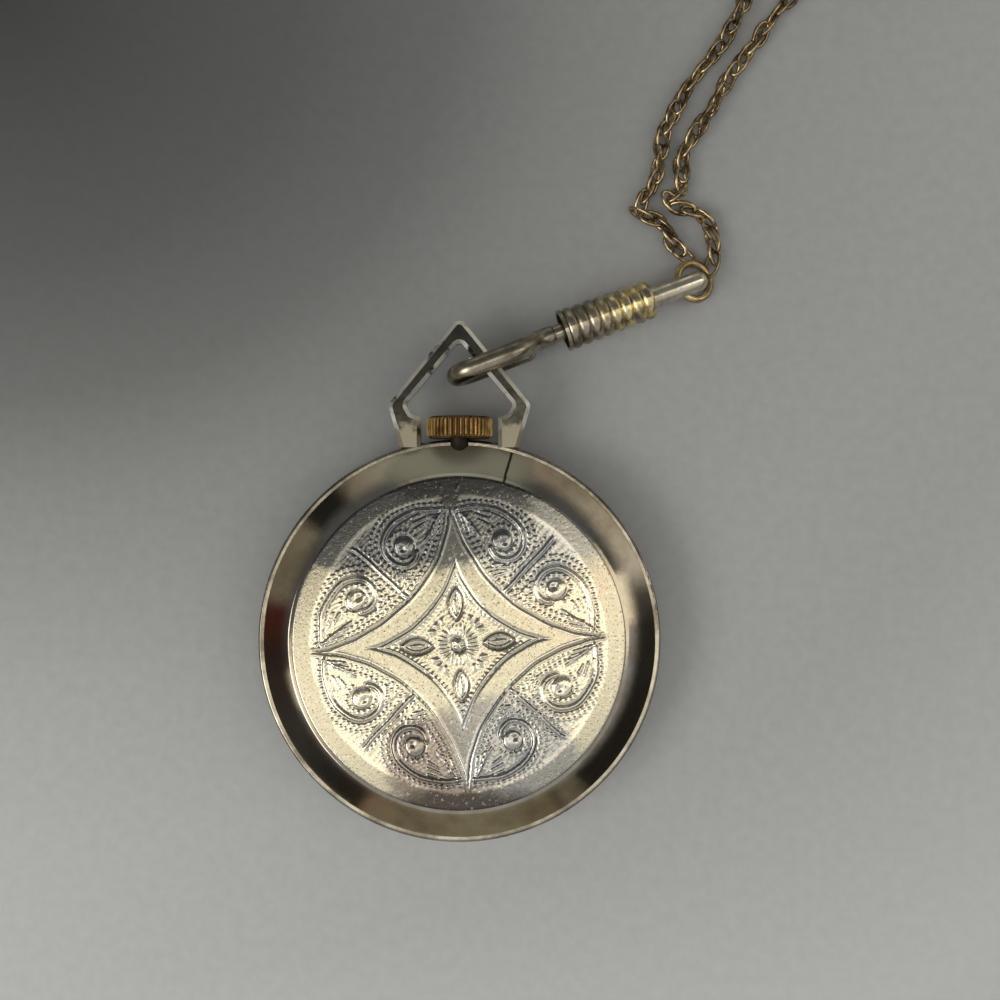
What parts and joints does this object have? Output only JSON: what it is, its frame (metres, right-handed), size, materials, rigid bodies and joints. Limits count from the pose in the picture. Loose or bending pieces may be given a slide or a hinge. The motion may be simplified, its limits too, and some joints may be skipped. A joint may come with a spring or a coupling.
{
  "type": "pendant watch",
  "caption": "Round hand-wound pendant watch with embossed back, crown and triangular bow, hung by a spring-sleeve hook from a brass necklace chain.",
  "frame": {"origin": "centre of the crystal's flat front face, on which the watch lies", "axes": "+Z out of the embossed back, +Y from the case's centre to the crown and bow, +X to the right"},
  "size_m": [0.0715, 0.1085, 0.008],
  "materials": {
    "embossed_silver": "embossed, worn silver",
    "case_chrome": "polished",
    "clear_crystal": "clear",
    "gasket_nylon": "matt",
    "dial_enamel": "satin",
    "gilt_brass": "polished",
    "movement_brass": "satin",
    "balance_metal": "polished",
    "blued_steel": "blued",
    "movement_steel": "polished",
    "ruby": "polished",
    "clasp_nickel": "polished, worn",
    "sleeve_gilt": "polished, worn",
    "spring_steel": "bright",
    "ring_brass": "polished",
    "chain_brass": "aged"
  },
  "bodies": {
    "case": {"case_middle": "case_chrome", "case_tube": "case_chrome", "back_band": "case_chrome", "front_bezel": "case_chrome", "crystal": "clear_crystal", "crystal_gasket": "gasket_nylon", "bow": "case_chrome", "dial": "dial_enamel", "hour_markers": "gilt_brass", "movement_ring": "movement_brass", "casing_clamps": "movement_brass", "clamp_screws": "movement_steel", "mainplate": "movement_brass", "barrel_bridge": "movement_brass", "train_bridge": "movement_brass", "pallet_bridge": "movement_brass", "balance_cock": "movement_brass", "bridge_screws": "movement_steel", "pallet_screws": "movement_steel", "jewels": "ruby", "crown_wheel_screw": "movement_steel", "click_screw": "movement_steel", "hairspring": "blued_steel", "lever_screws": "movement_steel"},
    "back_lid": {"back_cover": "embossed_silver"},
    "centre": {"centre_wheel": "movement_brass", "cannon_pinion": "movement_steel", "minute_hand": "gilt_brass"},
    "hours": {"hour_wheel": "movement_brass", "hour_hand": "gilt_brass"},
    "motion": {"minute_wheel": "movement_brass"},
    "drum": {"barrel": "movement_brass", "barrel_lid": "movement_brass", "mainspring": "movement_steel"},
    "third": {"third_wheel": "movement_brass"},
    "fourth": {"fourth_wheel": "movement_brass"},
    "escape": {"escape_wheel": "movement_steel"},
    "pallets": {"pallet_fork": "movement_steel", "pallet_stones": "ruby"},
    "balance": {"balance_wheel": "balance_metal"},
    "winder": {"winding_pinion": "movement_steel"},
    "stem": {"winding_stem": "movement_steel", "crown": "gilt_brass"},
    "clutch": {"sliding_clutch": "movement_steel"},
    "setting": {"setting_lever": "movement_steel"},
    "shifter": {"clutch_lever": "movement_steel"},
    "crown_gear": {"crown_wheel": "movement_steel"},
    "ratchet": {"ratchet_wheel": "movement_steel", "ratchet_screw": "movement_steel", "barrel_arbor": "movement_steel"},
    "pawl": {"click": "movement_steel"},
    "clasp": {"clasp_hook": "clasp_nickel", "clasp_eye": "clasp_nickel", "clasp_spring": "spring_steel"},
    "sleeve": {"clasp_sleeve": "sleeve_gilt"},
    "ring": {"jump_ring": "ring_brass", "chain_left": "chain_brass", "chain_right": "chain_brass", "chain_coil": "chain_brass"}
  },
  "joints": [
    {"name": "back_off", "type": "slide", "parent": "case", "child": "back_lid", "axis": [0, 0, 1], "range_m": [0, 0.006]},
    {"name": "time", "type": "hinge", "parent": "case", "child": "centre", "pos_m": [0, 0, 0.0047], "axis": [0, 0, 1], "continuous": true},
    {"name": "hour_turn", "type": "hinge", "parent": "case", "child": "hours", "pos_m": [0, 0, 0.0047], "axis": [0, 0, 1], "continuous": true},
    {"name": "motion_turn", "type": "hinge", "parent": "case", "child": "motion", "pos_m": [0.0015, 0.0026, 0.0047], "axis": [0, 0, 1], "continuous": true},
    {"name": "barrel_turn", "type": "hinge", "parent": "case", "child": "drum", "pos_m": [-0.00485, 0.0028, 0.0047], "axis": [0, 0, 1], "continuous": true},
    {"name": "third_turn", "type": "hinge", "parent": "case", "child": "third", "pos_m": [0.0042, 0.0015, 0.0047], "axis": [0, 0, 1], "continuous": true},
    {"name": "fourth_turn", "type": "hinge", "parent": "case", "child": "fourth", "pos_m": [0.00582, -0.00155, 0.0047], "axis": [0, 0, 1], "continuous": true},
    {"name": "escape_turn", "type": "hinge", "parent": "case", "child": "escape", "pos_m": [0.00373, -0.00364, 0.0047], "axis": [0, 0, 1], "continuous": true},
    {"name": "pallet_rock", "type": "hinge", "parent": "case", "child": "pallets", "pos_m": [0.00125, -0.00471, 0.0047], "axis": [0, 0, 1], "range_deg": [-5, 5]},
    {"name": "balance_swing", "type": "hinge", "parent": "case", "child": "balance", "pos_m": [-0.0024, -0.0063, 0.0047], "axis": [0, 0, 1], "range_deg": [-270, 270], "stiffness_Nm_per_rad": 0.000000062},
    {"name": "winding_turn", "type": "hinge", "parent": "case", "child": "winder", "pos_m": [0, 0.0091, 0.0047], "axis": [0, 1, 0], "continuous": true},
    {"name": "crown_pull", "type": "slide", "parent": "winder", "child": "stem", "axis": [0, 1, 0], "range_m": [0, 0.0008]},
    {"name": "clutch_shift", "type": "slide", "parent": "winder", "child": "clutch", "axis": [0, 1, 0], "range_m": [-0.0005, 0]},
    {"name": "setting_tilt", "type": "hinge", "parent": "case", "child": "setting", "pos_m": [0.0036, 0.01035, 0.0047], "axis": [0, 0, 1], "range_deg": [-14.7, 0]},
    {"name": "shifter_tilt", "type": "hinge", "parent": "case", "child": "shifter", "pos_m": [0.0042, 0.00775, 0.0047], "axis": [0, 0, 1], "range_deg": [0, 8.64]},
    {"name": "crown_wheel_turn", "type": "hinge", "parent": "case", "child": "crown_gear", "pos_m": [0, 0.0069, 0.0047], "axis": [0, 0, 1], "continuous": true},
    {"name": "ratchet_turn", "type": "hinge", "parent": "case", "child": "ratchet", "pos_m": [-0.00485, 0.0028, 0.0047], "axis": [0, 0, 1], "continuous": true},
    {"name": "click_lift", "type": "hinge", "parent": "case", "child": "pawl", "pos_m": [-0.00566, 0.00738, 0.0047], "axis": [0, 0, 1], "range_deg": [-12, 0], "stiffness_Nm_per_rad": 0.00001},
    {"name": "clasp_swing", "type": "hinge", "parent": "case", "child": "clasp", "pos_m": [0.00254, 0.02482, 0.0047], "axis": [0.6357, -0.7719, 0], "range_deg": [0, 80]},
    {"name": "sleeve_slide", "type": "slide", "parent": "clasp", "child": "sleeve", "axis": [0.9341, 0.352, -0.0593], "range_m": [0, 0.00125], "stiffness_N_per_m": 300, "deforming": ["clasp_spring"]},
    {"name": "ring_swing", "type": "hinge", "parent": "clasp", "child": "ring", "pos_m": [0.01995, 0.03212, 0.00186], "axis": [0.3527, -0.9358, 0], "range_deg": [0, 60]}
  ],
  "couplings": [
    {"joint": "hour_turn", "follows": "time", "ratio": 0.083333},
    {"joint": "motion_turn", "follows": "time", "ratio": -0.33333},
    {"joint": "barrel_turn", "follows": "time", "ratio": -0.125},
    {"joint": "third_turn", "follows": "time", "ratio": -7.5},
    {"joint": "fourth_turn", "follows": "time", "ratio": 60},
    {"joint": "escape_turn", "follows": "time", "ratio": -600},
    {"joint": "crown_wheel_turn", "follows": "winding_turn", "ratio": -0.53333},
    {"joint": "ratchet_turn", "follows": "winding_turn", "ratio": 0.32},
    {"joint": "clutch_shift", "follows": "crown_pull", "ratio": -0.625},
    {"joint": "setting_tilt", "follows": "crown_pull", "rad_per_m": -320.51},
    {"joint": "shifter_tilt", "follows": "crown_pull", "rad_per_m": 188.25}
  ]
}
